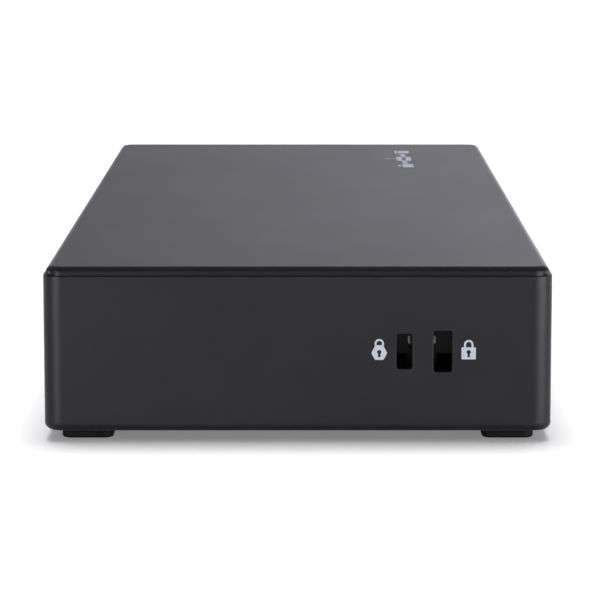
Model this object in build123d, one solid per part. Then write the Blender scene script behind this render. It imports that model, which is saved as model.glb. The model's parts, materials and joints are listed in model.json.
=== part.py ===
from build123d import *
import os

# A laptop docking station: a flat plastic box with boards, ports and a power button inside it.
# X runs along the box, with the lock slots in the +X end. The power button and the front ports
# face -Y, and the rear ports face +Y. Z points up from the plane that the feet stand on.
# Every size is in millimetres.

# ---------------------------------------------------------------- enclosure
LENGTH = 215.0
DEPTH = 85.0
HEIGHT = 29.5
FOOT_STAND_OFF = 1.8
CORNER_RADIUS = 3.0
WALL = 2.0
FLOOR = 2.0
BASE_EDGE_RADIUS = 1.3
RIM_TOP = 28.0
RIM_THICKNESS = 0.75
RIM_LEDGE = 25.9
RIM_EDGE_RADIUS = 0.15

COVER_UNDERSIDE = 27.5
COVER_LIP_BOTTOM = 28.7
COVER_LIP_INSET = 0.33
COVER_EDGE_RADIUS = 1.35
COVER_SKIRT_INSET = 0.85
COVER_SKIRT_THICKNESS = 1.1
COVER_SKIRT_BOTTOM = 26.0
COVER_RIB_THICKNESS = 1.0
COVER_RIB_BOTTOM = 26.0
COVER_RIB_X = (-70.0, -35.0, 0.0, 35.0, 70.0)
COVER_RIB_Y = (-14.0, 14.0)

BODY_BOTTOM = FOOT_STAND_OFF
FLOOR_TOP = BODY_BOTTOM + FLOOR
END_X = LENGTH / 2
SIDE_Y = DEPTH / 2
END_INNER_X = END_X - WALL
SIDE_INNER_Y = SIDE_Y - WALL

# Feet, and the housing screws that they hide
FOOT_SIZE = 8.7
FOOT_CORNER_RADIUS = 1.7
FOOT_X = 99.5
FOOT_Y = 35.4
FOOT_EDGE_RADIUS = 0.45
FOOT_RECESS_DEPTH = 0.3
FOOT_RECESS_GAP = 0.2
SCREW_BOSS_DIAMETER = 7.0
SCREW_BOSS_TOP = 8.0
SCREW_SEAT_Z = 5.2
SCREW_SEAT_DIAMETER = 5.6
SCREW_HOLE_DIAMETER = 3.2
COVER_BOSS_DIAMETER = 6.0
COVER_PILOT_DEPTH = 14.0
HOUSING_SCREW_HEAD = (5.0, 1.6)
HOUSING_SCREW_LENGTH = 13.0
HOUSING_SCREW_DIAMETER = 2.2

# Base details
VENT_COUNT = 15
VENT_PITCH = 4.0
VENT_LENGTH = 26.0
VENT_WIDTH = 1.6
VENT_CENTRE_Y = 9.0
INSERT_SPACING = 100.0
INSERT_DIAMETER = 4.2
INSERT_LENGTH = 4.5
INSERT_THREAD_DIAMETER = 2.5
INSERT_POST_DIAMETER = 7.2
INSERT_POST_CAP = 1.1
LABEL_CENTRE_X = 76.0
LABEL_RECESS = (30.0, 52.0)
LABEL_MARGIN = 0.2
LABEL_RECESS_DEPTH = 0.25
LABEL_THICKNESS = 0.15

# ---------------------------------------------------------------- lock slots and their bracket
LOCK_SLOT_Z = 15.4
SMALL_SLOT = (17.8, 2.7, 6.0)
STANDARD_SLOT = (24.2, 3.15, 7.0)
SLOT_CORNER_RADIUS = 0.45
BRACKET_SLOT_GROWTH = 0.3
BRACKET_FACE_X = 105.3
BRACKET_THICKNESS = 1.0
BRACKET_FOLD_RADIUS = 0.8
BRACKET_Y = (11.0, 31.0)
BRACKET_Z = (9.0, 22.0)
BRACKET_BACK_X = 100.9
BRACKET_BACK_BOTTOM = 14.0
BRACKET_SCREW_Y = 20.9
BRACKET_SCREW_Z = 16.5
BRACKET_SCREW_HEAD = (4.8, 1.2)
BRACKET_SCREW_DIAMETER = 2.0
BRACKET_SCREW_LENGTH = 5.0
BRACKET_POST_X = (94.9, 99.9)
BRACKET_POST_Y = (18.2, 23.6)
BRACKET_POST_TOP = 20.0
BRACKET_PILOT_DEPTH = 4.4

# ---------------------------------------------------------------- boards
BOARD_THICKNESS = 1.6
BOARD_CORNER_RADIUS = 1.0
MAIN_BOARD_BOTTOM = 8.0
MAIN_BOARD_TOP = MAIN_BOARD_BOTTOM + BOARD_THICKNESS
MAIN_BOARD_X = (-94.0, 88.0)
MAIN_BOARD_Y = (-21.0, 39.5)
FRONT_BOARD_BOTTOM = 9.2
FRONT_BOARD_TOP = FRONT_BOARD_BOTTOM + BOARD_THICKNESS
FRONT_BOARD_X = (-12.0, 92.0)
FRONT_BOARD_Y = (-38.2, -24.5)
BOARD_HOLE_DIAMETER = 2.7
STANDOFF_DIAMETER = 5.5
PILOT_DIAMETER = 2.1
PILOT_DEPTH = 3.6
BOARD_SCREW_DIAMETER = 2.0
BOARD_SCREW_LENGTH = 4.0
BOARD_SCREW_HEAD = (4.4, 1.5)
MAIN_BOARD_HOLES = [(-90, -17), (-90, 18), (-12, -17), (84, -17), (84, 18), (-60.5, 34), (27.75, 34)]
FRONT_BOARD_HOLES = [(-8.5, -28), (31.5, -28), (71.5, -28)]

# Flat cable between the boards, and its two sockets
CABLE_X = (-4.0, 12.0)
CABLE_MARGIN = 1.0
CABLE_THICKNESS = 0.3
CABLE_ARCH = 4.0
CABLE_BEND_RADIUS = 3.0
CABLE_SOCKET_HEIGHT = 2.4
CABLE_SOCKET_DEPTH = 3.2
CABLE_REAR_Y = -15.0
CABLE_FRONT_Y = -27.0

# Parts on the main board: flat ones as an X range, a Y range and a height
DISPLAY_CHIP = ((-40.0, -20.0), (-5.0, 15.0), 1.3)
HUB_CHIP = ((10.0, 23.0), (-2.0, 11.0), 1.0)
ETHERNET_TRANSFORMER = ((31.5, 46.5), (13.0, 22.0), 5.5)
SHIELD_CAN = ((50.0, 78.0), (-12.0, 8.0), 3.2)
SHIELD_CAN_THICKNESS = 0.25
SINK_X = (-48.0, 30.0)
SINK_Y = (-8.0, 18.0)
SINK_BASE_BOTTOM = MAIN_BOARD_TOP + 2.0
SINK_BASE_TOP = SINK_BASE_BOTTOM + 2.0
SINK_TOP = 22.5
SINK_FINS = 9
FIN_THICKNESS = 1.0
SINK_PINS = [(-44.5, -4.5), (26.5, 14.5)]
SINK_PIN_DIAMETER = 2.8
SINK_PIN_HOLE = 3.2
SINK_PIN_HEAD = (5.6, 1.2)
SINK_PIN_BAY = 7.0
INDUCTOR_X = (-81.0, -71.0, -61.0)
INDUCTOR_Y = 5.0
INDUCTOR_SIZE = (7.0, 4.0)
INDUCTOR_CHAMFER = 0.8
CAPACITOR_PLACES = [(-80, -8), (-70, -8), (-60, -8), (36, -14)]
CAPACITOR_SIZE = (6.3, 7.7)
CAPACITOR_EDGE_RADIUS = 0.5

# ---------------------------------------------------------------- ports
PORT_MOUTH_Y = 41.9
PORT_CLEARANCE = 0.25
SHELL_THICKNESS = 0.3
TONGUE_SETBACK = 1.2
FRONT_PORT_Z = 13.75

USB_A_SHELL = (13.1, 5.72)
USB_A_PITCH = 9.0
USB_A_DEPTH = 15.0
USB_A_CAVITY = 11.0
USB_A_TONGUE = (11.1, 1.84)
USB_A_TONGUE_RISE = 0.75
USB_A_SPRING_X = 3.2
USB_A_SPRING_WIDTH = 2.0
USB_A_SPRING_Y = (-7.5, -3.0)
USB_C_SHELL = (8.94, 3.16)
USB_C_DEPTH = 8.6
USB_C_CAVITY = 6.2
USB_C_TONGUE = (6.69, 0.7)
VIDEO_DEPTH = 11.5
VIDEO_CAVITY = 8.6
WIDE_VIDEO_SHELL = (15.0, 5.55)
WIDE_VIDEO_TONGUE = (12.0, 1.3)
WIDE_VIDEO_TONGUE_RISE = 0.5
WIDE_VIDEO_SHOULDER = 2.0
NOTCHED_VIDEO_SHELL = (16.7, 5.4)
NOTCHED_VIDEO_TONGUE = (12.4, 1.3)
NOTCHED_VIDEO_TONGUE_RISE = 0.4
NOTCHED_VIDEO_CUT = 2.2

ETHERNET_SHIELD = (16.0, 13.2)
ETHERNET_DEPTH = 16.0
ETHERNET_CAVITY_WIDTH = 11.9
ETHERNET_CAVITY_Z = (-3.6, 4.4)
ETHERNET_CAVITY_DEPTH = 12.6
ETHERNET_LATCH = (6.2, 2.0)
ETHERNET_LATCH_DEPTH = 9.0
ETHERNET_CONTACTS = 8
ETHERNET_CONTACT_PITCH = 1.02
ETHERNET_CONTACT = (0.4, 8.0, 0.25)
ETHERNET_CONTACT_TILT = -14.0
ETHERNET_CONTACT_Y = -6.5
ETHERNET_CONTACT_DROP = 1.3
LINK_LIGHT_X = 5.7
LINK_LIGHT_Z = -5.15
LINK_LIGHT_SIZE = (2.5, 1.6)
LINK_LIGHT_Y = (-2.9, -0.35)
LINK_LIGHT_GAP = 0.05

POWER_INLET_BODY = (9.0, 10.9)
POWER_INLET_COLLAR = 8.0
POWER_INLET_BORE = 6.4
POWER_INLET_BORE_DEPTH = 9.6
POWER_INLET_PIN = 2.1
POWER_INLET_LENGTH = 13.0
POWER_INLET_CONTACT_Z = (2.6, 2.9)
POWER_INLET_CONTACT_WIDTH = 1.6
AUDIO_BODY = (6.4, 5.9)
AUDIO_COLLAR = 5.8
AUDIO_BORE_RADIUS = 1.8
AUDIO_BORE_DEPTH = 13.0
AUDIO_LENGTH = 13.8
COLLAR_LENGTH = 1.8

# Each rear and front port: its name, its kind and its X
REAR_PORTS = [
    ("power_inlet", "power_inlet", -84.0),
    ("laptop_port", "usb_c", -69.0),
    ("video_port_1", "wide_video", -50.0),
    ("video_port_2", "notched_video", -29.0),
    ("video_port_3", "wide_video", -8.0),
    ("video_port_4", "notched_video", 14.0),
    ("ethernet_jack", "ethernet", 39.0),
    ("usb_stack_1", "usb_a_pair", 60.0),
    ("usb_stack_2", "usb_a_pair", 78.0),
]
FRONT_PORTS = [
    ("audio_jack", "audio", 61.0),
    ("front_usb_c", "usb_c", 43.0),
    ("front_usb_a", "usb_a", 20.0),
]

# ---------------------------------------------------------------- power button and status light
BUTTON_X = 82.0
BUTTON_DIAMETER = 7.6
BUTTON_HOLE_DIAMETER = 8.2
BUTTON_FACE_Y = -42.3
BUTTON_EDGE_RADIUS = 0.3
BUTTON_FLANGE_DIAMETER = 10.0
BUTTON_FLANGE_THICKNESS = 1.0
BUTTON_FLANGE_GAP = 0.3
BUTTON_STEM_DIAMETER = 3.0
BUTTON_TRAVEL = 0.5
SWITCH_Y = (-36.4, -32.4)
SWITCH_WIDTH = 6.0
SWITCH_HEIGHT = 6.0
PLUNGER_DIAMETER = 2.6
PLUNGER_CLEARANCE = 0.3
PLUNGER_PROUD = BUTTON_TRAVEL + 0.1
PLUNGER_DEPTH = 1.2
DOME_HEIGHT = 1.4
DOME_RADII = (1.4, 0.6)
DOME_THICKNESS = 0.1
DOME_RISE = 0.15
LIGHT_X = 72.5
LIGHT_DIAMETER = 2.0
LIGHT_ELBOW_Y = -36.3
LIGHT_ELBOW_CHAMFER = 1.5
LIGHT_GAP = 0.2
STATUS_LED_SIZE = (1.6, 1.4, 0.8)


# ---------------------------------------------------------------- shape helpers
def block(x_range, y_range, z_range):
    """A box that fills three ranges."""
    spans = [high - low for low, high in (x_range, y_range, z_range)]
    middles = [(low + high) / 2 for low, high in (x_range, y_range, z_range)]
    return Pos(*middles) * Box(*spans)


def post(x, y, z_range, diameter):
    """An upright cylinder."""
    low, high = z_range
    return Pos(x, y, (low + high) / 2) * Cylinder(diameter / 2, high - low)


def rod_along_y(x, z, y_range, diameter):
    """A cylinder that lies along Y."""
    low, high = y_range
    return Pos(x, (low + high) / 2, z) * Rot(90, 0, 0) * Cylinder(diameter / 2, high - low)


def rod_along_x(y, z, x_range, diameter):
    """A cylinder that lies along X."""
    low, high = x_range
    return Pos((low + high) / 2, y, z) * Rot(0, 90, 0) * Cylinder(diameter / 2, high - low)


def rounded_outline(inset):
    """The box's own outline, moved inwards by the inset."""
    radius = max(CORNER_RADIUS - inset, 0.5)
    return RectangleRounded(LENGTH - 2 * inset, DEPTH - 2 * inset, radius)


def rounded_slab(inset, z_range):
    """A slab with the box's own outline, moved inwards by the inset."""
    low, high = z_range
    return Pos(0, 0, low) * extrude(rounded_outline(inset), high - low)


def inward_prism(outline, depth, start=0.0):
    """A prism on an XZ outline that runs inwards, towards -Y, from a start depth."""
    return Pos(0, -start, 0) * extrude(Plane.XZ * outline, depth - start)


def pan_screw(head, shank_diameter, length):
    """A cross-head screw with its seat at z = 0, its head above and its shank below."""
    head_diameter, head_height = head
    top = Pos(0, 0, head_height / 2) * Cylinder(head_diameter / 2, head_height)
    top = fillet(top.edges().sort_by(Axis.Z)[-1], head_height * 0.4)
    shank = Pos(0, 0, -length / 2) * Cylinder(shank_diameter / 2, length)
    slot_length = head_diameter * 0.55
    slot_depth = head_height * 0.55
    cross = Box(slot_length, 0.6, slot_depth) + Box(0.6, slot_length, slot_depth)
    return top + shank - Pos(0, 0, head_height - slot_depth / 2) * cross


def group(solids):
    """One node from a list of separate solids."""
    return solids[0] if len(solids) == 1 else Compound(children=solids)


# ---------------------------------------------------------------- outlines of the ports
def usb_a_outline(levels):
    return Rectangle(USB_A_SHELL[0], USB_A_SHELL[1] + (levels - 1) * USB_A_PITCH)


def wide_video_outline():
    """A flat top and drawn-in lower corners."""
    half_width, half_height = WIDE_VIDEO_SHELL[0] / 2, WIDE_VIDEO_SHELL[1] / 2
    foot = half_width - WIDE_VIDEO_SHOULDER
    shoulder = WIDE_VIDEO_SHOULDER - half_height
    right = [(foot, -half_height), (half_width, shoulder), (half_width, half_height)]
    left = [(-x, z) for x, z in reversed(right)]
    return Polygon(*right, *left, align=None)


def notched_video_outline():
    """A rectangle with one lower corner cut off."""
    half_width, half_height = NOTCHED_VIDEO_SHELL[0] / 2, NOTCHED_VIDEO_SHELL[1] / 2
    points = [
        (-half_width, half_height),
        (-half_width, -half_height),
        (half_width - NOTCHED_VIDEO_CUT, -half_height),
        (half_width, -half_height + NOTCHED_VIDEO_CUT),
        (half_width, half_height),
    ]
    return Polygon(*points, align=None)


# ---------------------------------------------------------------- ports, mouth at y = 0, facing +Y
def metal_shell(outline, depth):
    """A thin shell, open at its mouth and closed at its back."""
    inner = offset(outline, -SHELL_THICKNESS)
    return inward_prism(outline, depth) - inward_prism(inner, depth - SHELL_THICKNESS)


def plug_insert(outline, depth, cavity_depth, tongues):
    """A plastic insert: a back block that fills the shell, with tongues towards the mouth."""
    insert = inward_prism(offset(outline, -SHELL_THICKNESS), depth - SHELL_THICKNESS, cavity_depth)
    for width, thickness, rise in tongues:
        tongue_y = (-cavity_depth, -TONGUE_SETBACK)
        tongue = block((-width / 2, width / 2), tongue_y, (-thickness / 2, thickness / 2))
        insert += Pos(0, 0, rise) * chamfer(tongue.edges().group_by(Axis.Y)[-1], thickness * 0.2)
    return insert


def usb_a_port(levels):
    outline = usb_a_outline(levels)
    rises = [(level - (levels - 1) / 2) * USB_A_PITCH for level in range(levels)]
    shell = metal_shell(outline, USB_A_DEPTH)
    tongues = [(*USB_A_TONGUE, rise + USB_A_TONGUE_RISE) for rise in rises]
    insert = plug_insert(outline, USB_A_DEPTH, USB_A_CAVITY, tongues)
    divider_height = USB_A_PITCH - USB_A_SHELL[1] + 2 * SHELL_THICKNESS
    half_width = USB_A_SHELL[0] / 2 - SHELL_THICKNESS
    for lower in rises[:-1]:
        middle = lower + USB_A_PITCH / 2
        z_range = (middle - divider_height / 2, middle + divider_height / 2)
        shell += block((-half_width, half_width), (-SHELL_THICKNESS, 0), z_range)
        insert += block((-half_width, half_width), (-USB_A_CAVITY, -SHELL_THICKNESS), z_range)
    roof = USB_A_SHELL[1] / 2 + (levels - 1) * USB_A_PITCH / 2
    half_spring = USB_A_SPRING_WIDTH / 2
    for x in (-USB_A_SPRING_X, USB_A_SPRING_X):
        for z in (-roof, roof):
            window_z = (z - SHELL_THICKNESS, z + SHELL_THICKNESS)
            shell -= block((x - half_spring, x + half_spring), USB_A_SPRING_Y, window_z)
    return {"shell": shell, "insert": insert}


def usb_c_port():
    outline = SlotOverall(*USB_C_SHELL)
    insert = plug_insert(outline, USB_C_DEPTH, USB_C_CAVITY, [(*USB_C_TONGUE, 0)])
    return {"shell": metal_shell(outline, USB_C_DEPTH), "insert": insert}


def video_port(outline, tongue, rise):
    insert = plug_insert(outline, VIDEO_DEPTH, VIDEO_CAVITY, [(*tongue, rise)])
    return {"shell": metal_shell(outline, VIDEO_DEPTH), "insert": insert}


def link_light(x, gap=0.0):
    """One link light's block, or with a gap the pocket that holds it."""
    half_width, half_height = (size / 2 + gap for size in LINK_LIGHT_SIZE)
    back, front = LINK_LIGHT_Y
    y_range = (back - gap, 0 if gap else front)
    z_range = (LINK_LIGHT_Z - half_height, LINK_LIGHT_Z + half_height)
    return block((x - half_width, x + half_width), y_range, z_range)


def ethernet_port():
    width, height = ETHERNET_SHIELD
    low, high = ETHERNET_CAVITY_Z
    outline = Rectangle(width, height)
    inner = offset(outline, -SHELL_THICKNESS)
    insert = inward_prism(inner, ETHERNET_DEPTH - SHELL_THICKNESS, SHELL_THICKNESS)
    half_cavity = ETHERNET_CAVITY_WIDTH / 2
    half_latch = ETHERNET_LATCH[0] / 2
    insert -= block((-half_cavity, half_cavity), (-ETHERNET_CAVITY_DEPTH, 0), (low, high))
    latch_z = (low - ETHERNET_LATCH[1], low)
    insert -= block((-half_latch, half_latch), (-ETHERNET_LATCH_DEPTH, 0), latch_z)
    for x in (-LINK_LIGHT_X, LINK_LIGHT_X):
        insert -= link_light(x, LINK_LIGHT_GAP)
    first = -(ETHERNET_CONTACTS - 1) / 2 * ETHERNET_CONTACT_PITCH
    contacts = []
    for number in range(ETHERNET_CONTACTS):
        x = first + number * ETHERNET_CONTACT_PITCH
        place = Pos(x, ETHERNET_CONTACT_Y, high - ETHERNET_CONTACT_DROP)
        contacts.append(place * Rot(ETHERNET_CONTACT_TILT, 0, 0) * Box(*ETHERNET_CONTACT))
    return {
        "shell": metal_shell(outline, ETHERNET_DEPTH),
        "insert": insert,
        "contacts": contacts,
        "lights": [link_light(x) for x in (-LINK_LIGHT_X, LINK_LIGHT_X)],
    }


def power_inlet():
    width, height = POWER_INLET_BODY
    body_y = (-POWER_INLET_LENGTH, -COLLAR_LENGTH)
    body = block((-width / 2, width / 2), body_y, (-height / 2, height / 2))
    body += rod_along_y(0, 0, (-COLLAR_LENGTH, 0), POWER_INLET_COLLAR)
    body -= rod_along_y(0, 0, (-POWER_INLET_BORE_DEPTH, 0), POWER_INLET_BORE)
    pin = rod_along_y(0, 0, (-POWER_INLET_BORE_DEPTH, -TONGUE_SETBACK), POWER_INLET_PIN)
    pin = fillet(pin.edges().sort_by(Axis.Y)[-1], POWER_INLET_PIN / 3)
    half_contact = POWER_INLET_CONTACT_WIDTH / 2
    contact_y = (-POWER_INLET_BORE_DEPTH, -POWER_INLET_BORE_DEPTH / 2)
    contact = block((-half_contact, half_contact), contact_y, POWER_INLET_CONTACT_Z)
    return {"body": body, "pin": pin, "contact": contact}


def audio_jack():
    width, height = AUDIO_BODY
    body = block((-width / 2, width / 2), (-AUDIO_LENGTH, -COLLAR_LENGTH), (-height / 2, height / 2))
    body += rod_along_y(0, 0, (-COLLAR_LENGTH, 0), AUDIO_COLLAR)
    body -= rod_along_y(0, 0, (-AUDIO_BORE_DEPTH, 0), 2 * AUDIO_BORE_RADIUS)
    return {"body": body}


# A port's kind gives its builder, its outline, and its half height above the board.
USB_A_HEIGHTS = [USB_A_SHELL[1] + (levels - 1) * USB_A_PITCH for levels in (1, 2)]
KINDS = {
    "usb_a": (lambda: usb_a_port(1), usb_a_outline(1), USB_A_HEIGHTS[0] / 2),
    "usb_a_pair": (lambda: usb_a_port(2), usb_a_outline(2), USB_A_HEIGHTS[1] / 2),
    "usb_c": (usb_c_port, SlotOverall(*USB_C_SHELL), USB_C_SHELL[1] / 2),
    "wide_video": (
        lambda: video_port(wide_video_outline(), WIDE_VIDEO_TONGUE, WIDE_VIDEO_TONGUE_RISE),
        wide_video_outline(),
        WIDE_VIDEO_SHELL[1] / 2,
    ),
    "notched_video": (
        lambda: video_port(notched_video_outline(), NOTCHED_VIDEO_TONGUE, NOTCHED_VIDEO_TONGUE_RISE),
        notched_video_outline(),
        NOTCHED_VIDEO_SHELL[1] / 2,
    ),
    "ethernet": (ethernet_port, Rectangle(*ETHERNET_SHIELD), ETHERNET_SHIELD[1] / 2),
    "power_inlet": (power_inlet, Circle(POWER_INLET_COLLAR / 2), POWER_INLET_BODY[1] / 2),
    "audio": (audio_jack, Circle(AUDIO_COLLAR / 2), AUDIO_BODY[1] / 2),
}


def rear_place(kind, x):
    """Where a rear port sits: on the main board, with its mouth at the rear wall."""
    return Pos(x, PORT_MOUTH_Y, MAIN_BOARD_TOP + KINDS[kind][2])


def front_place(x):
    """Where a front port sits: on the common front centre line, turned to face -Y."""
    return Pos(x, -PORT_MOUTH_Y, FRONT_PORT_Z) * Rot(0, 0, 180)


def port_places():
    """Each port's name, kind and place."""
    rear = [(name, kind, rear_place(kind, x)) for name, kind, x in REAR_PORTS]
    front = [(name, kind, front_place(x)) for name, kind, x in FRONT_PORTS]
    return rear + front


# ---------------------------------------------------------------- enclosure parts
def foot_pad(x, y, z_range, gap=0.0):
    """A foot's square pad with round corners, or with a gap the recess that holds it."""
    low, high = z_range
    side = FOOT_SIZE + 2 * gap
    return Pos(x, y, low) * extrude(RectangleRounded(side, side, FOOT_CORNER_RADIUS + gap), high - low)


def foot_positions():
    return [(x, y) for x in (-FOOT_X, FOOT_X) for y in (-FOOT_Y, FOOT_Y)]


def insert_positions():
    return [(-INSERT_SPACING / 2, 0), (INSERT_SPACING / 2, 0)]


def lock_slot(slot, x_range, growth=0.0):
    """A lock slot through an X range."""
    y, width, height = slot
    outline = RectangleRounded(width + growth, height + growth, SLOT_CORNER_RADIUS)
    low, high = x_range
    return Pos(low, y, LOCK_SLOT_Z) * extrude(Plane.YZ * outline, high - low)


def outer_tub():
    """The housing's walls and floor, with a rounded base edge and a rebate for the cover."""
    tub = rounded_slab(0, (BODY_BOTTOM, RIM_TOP))
    tub = fillet(tub.faces().sort_by(Axis.Z)[0].edges(), BASE_EDGE_RADIUS)
    tub = fillet(tub.faces().sort_by(Axis.Z)[-1].edges(), RIM_EDGE_RADIUS)
    tub -= rounded_slab(WALL, (FLOOR_TOP, RIM_TOP))
    return tub - rounded_slab(RIM_THICKNESS, (RIM_LEDGE, RIM_TOP))


def housing_posts():
    """The solid posts that stand on the floor."""
    posts = [post(x, y, (FLOOR_TOP, SCREW_BOSS_TOP), SCREW_BOSS_DIAMETER) for x, y in foot_positions()]
    insert_top = BODY_BOTTOM + INSERT_LENGTH + INSERT_POST_CAP
    posts += [post(x, y, (FLOOR_TOP, insert_top), INSERT_POST_DIAMETER) for x, y in insert_positions()]
    posts += [post(x, y, (FLOOR_TOP, MAIN_BOARD_BOTTOM), STANDOFF_DIAMETER) for x, y in MAIN_BOARD_HOLES]
    posts += [post(x, y, (FLOOR_TOP, FRONT_BOARD_BOTTOM), STANDOFF_DIAMETER) for x, y in FRONT_BOARD_HOLES]
    posts.append(block(BRACKET_POST_X, BRACKET_POST_Y, (FLOOR_TOP, BRACKET_POST_TOP)))
    return posts


def housing_holes():
    """Screw, insert and foot holes in the floor and its posts."""
    holes = []
    for x, y in foot_positions():
        holes.append(post(x, y, (BODY_BOTTOM, SCREW_BOSS_TOP), SCREW_HOLE_DIAMETER))
        holes.append(post(x, y, (BODY_BOTTOM, SCREW_SEAT_Z), SCREW_SEAT_DIAMETER))
        holes.append(foot_pad(x, y, (BODY_BOTTOM, BODY_BOTTOM + FOOT_RECESS_DEPTH), FOOT_RECESS_GAP))
    for x, y in insert_positions():
        holes.append(post(x, y, (BODY_BOTTOM, BODY_BOTTOM + INSERT_LENGTH), INSERT_DIAMETER))
    for x, y in MAIN_BOARD_HOLES:
        holes.append(post(x, y, (MAIN_BOARD_BOTTOM - PILOT_DEPTH, MAIN_BOARD_BOTTOM), PILOT_DIAMETER))
    for x, y in FRONT_BOARD_HOLES:
        holes.append(post(x, y, (FRONT_BOARD_BOTTOM - PILOT_DEPTH, FRONT_BOARD_BOTTOM), PILOT_DIAMETER))
    pilot = (BRACKET_POST_X[1] - BRACKET_PILOT_DEPTH, BRACKET_POST_X[1])
    holes.append(rod_along_x(BRACKET_SCREW_Y, BRACKET_SCREW_Z, pilot, PILOT_DIAMETER))
    return holes


def base_vents():
    """A row of cooling slots through the floor."""
    first = -(VENT_COUNT - 1) / 2 * VENT_PITCH
    slot = Rot(0, 0, 90) * SlotOverall(VENT_LENGTH, VENT_WIDTH)
    places = [Pos(first + n * VENT_PITCH, VENT_CENTRE_Y, BODY_BOTTOM) for n in range(VENT_COUNT)]
    return [place * extrude(slot, FLOOR) for place in places]


def label_block(z_range, margin=0.0):
    """The label's recess in the base, or with a margin the label itself."""
    half_x, half_y = (size / 2 - margin for size in LABEL_RECESS)
    return block((LABEL_CENTRE_X - half_x, LABEL_CENTRE_X + half_x), (-half_y, half_y), z_range)


def lower_housing():
    tub = outer_tub()
    for piece in housing_posts():
        tub += piece
    cuts = housing_holes() + base_vents()
    cuts.append(label_block((BODY_BOTTOM, BODY_BOTTOM + LABEL_RECESS_DEPTH)))
    cuts += [lock_slot(slot, (END_INNER_X, END_X)) for slot in (SMALL_SLOT, STANDARD_SLOT)]
    for _, kind, place in port_places():
        opening = extrude(Plane.XZ * offset(KINDS[kind][1], PORT_CLEARANCE), WALL)
        cuts.append(place * Pos(0, SIDE_Y - PORT_MOUTH_Y, 0) * opening)
    wall_span = (-SIDE_Y, -SIDE_INNER_Y)
    cuts.append(rod_along_y(BUTTON_X, FRONT_PORT_Z, wall_span, BUTTON_HOLE_DIAMETER))
    cuts.append(rod_along_y(LIGHT_X, FRONT_PORT_Z, wall_span, LIGHT_DIAMETER + LIGHT_GAP))
    return tub - cuts


def top_cover():
    lip = rounded_slab(COVER_LIP_INSET, (HEIGHT - 2 * COVER_EDGE_RADIUS, HEIGHT))
    lip = fillet(lip.faces().sort_by(Axis.Z)[-1].edges(), COVER_EDGE_RADIUS)
    lip &= rounded_slab(0, (COVER_LIP_BOTTOM, HEIGHT))
    cover = lip + rounded_slab(COVER_SKIRT_INSET, (COVER_SKIRT_BOTTOM, COVER_LIP_BOTTOM))
    inner = COVER_SKIRT_INSET + COVER_SKIRT_THICKNESS
    cover -= rounded_slab(inner, (COVER_SKIRT_BOTTOM, COVER_UNDERSIDE))
    reach_x, reach_y = END_X - inner, SIDE_Y - inner
    half_rib = COVER_RIB_THICKNESS / 2
    rib_z = (COVER_RIB_BOTTOM, COVER_UNDERSIDE)
    for x in COVER_RIB_X:
        cover += block((x - half_rib, x + half_rib), (-reach_y, reach_y), rib_z)
    for y in COVER_RIB_Y:
        cover += block((-reach_x, reach_x), (y - half_rib, y + half_rib), rib_z)
    for x, y in foot_positions():
        cover += post(x, y, (SCREW_BOSS_TOP, COVER_UNDERSIDE), COVER_BOSS_DIAMETER)
        pilot = (SCREW_BOSS_TOP, SCREW_BOSS_TOP + COVER_PILOT_DEPTH)
        cover -= post(x, y, pilot, HOUSING_SCREW_DIAMETER + 0.1)
    return cover


def foot(x, y):
    pad = foot_pad(x, y, (0, BODY_BOTTOM + FOOT_RECESS_DEPTH))
    return fillet(pad.faces().sort_by(Axis.Z)[0].edges(), FOOT_EDGE_RADIUS)


def housing_screws():
    screw = Rot(180, 0, 0) * pan_screw(HOUSING_SCREW_HEAD, HOUSING_SCREW_DIAMETER, HOUSING_SCREW_LENGTH)
    return group([Pos(x, y, SCREW_SEAT_Z) * screw for x, y in foot_positions()])


def mount_inserts():
    inserts = []
    for x, y in insert_positions():
        z_range = (BODY_BOTTOM, BODY_BOTTOM + INSERT_LENGTH)
        sleeve = post(x, y, z_range, INSERT_DIAMETER)
        inserts.append(sleeve - post(x, y, z_range, INSERT_THREAD_DIAMETER))
    return group(inserts)


def base_label():
    label_top = BODY_BOTTOM + LABEL_RECESS_DEPTH
    return label_block((label_top - LABEL_THICKNESS, label_top), LABEL_MARGIN)


def lock_bracket():
    """A folded steel plate behind the lock slots: a slotted face, a top web and a short back."""
    t = BRACKET_THICKNESS
    back_x = (BRACKET_BACK_X - t, BRACKET_BACK_X)
    top_z = (BRACKET_Z[1] - t, BRACKET_Z[1])
    bracket = block((BRACKET_FACE_X - t, BRACKET_FACE_X), BRACKET_Y, BRACKET_Z)
    bracket += block((back_x[0], BRACKET_FACE_X), BRACKET_Y, top_z)
    folds = bracket.edges().filter_by(Axis.Y).group_by(Axis.Z)[-1]
    bracket = fillet(folds, BRACKET_FOLD_RADIUS)
    bracket += block(back_x, BRACKET_Y, (BRACKET_BACK_BOTTOM, top_z[0]))
    for slot in (SMALL_SLOT, STANDARD_SLOT):
        bracket -= lock_slot(slot, (BRACKET_FACE_X - t, BRACKET_FACE_X), BRACKET_SLOT_GROWTH)
    return bracket - rod_along_x(BRACKET_SCREW_Y, BRACKET_SCREW_Z, back_x, BOARD_HOLE_DIAMETER)


def lock_bracket_screw():
    screw = pan_screw(BRACKET_SCREW_HEAD, BRACKET_SCREW_DIAMETER, BRACKET_SCREW_LENGTH)
    return Pos(BRACKET_BACK_X, BRACKET_SCREW_Y, BRACKET_SCREW_Z) * Rot(0, 90, 0) * screw


# ---------------------------------------------------------------- boards
def drilled_board(x_range, y_range, bottom, holes):
    z_range = (bottom, bottom + BOARD_THICKNESS)
    board = block(x_range, y_range, z_range)
    board = fillet(board.edges().filter_by(Axis.Z), BOARD_CORNER_RADIUS)
    return board - [post(x, y, z_range, BOARD_HOLE_DIAMETER) for x, y in holes]


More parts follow.
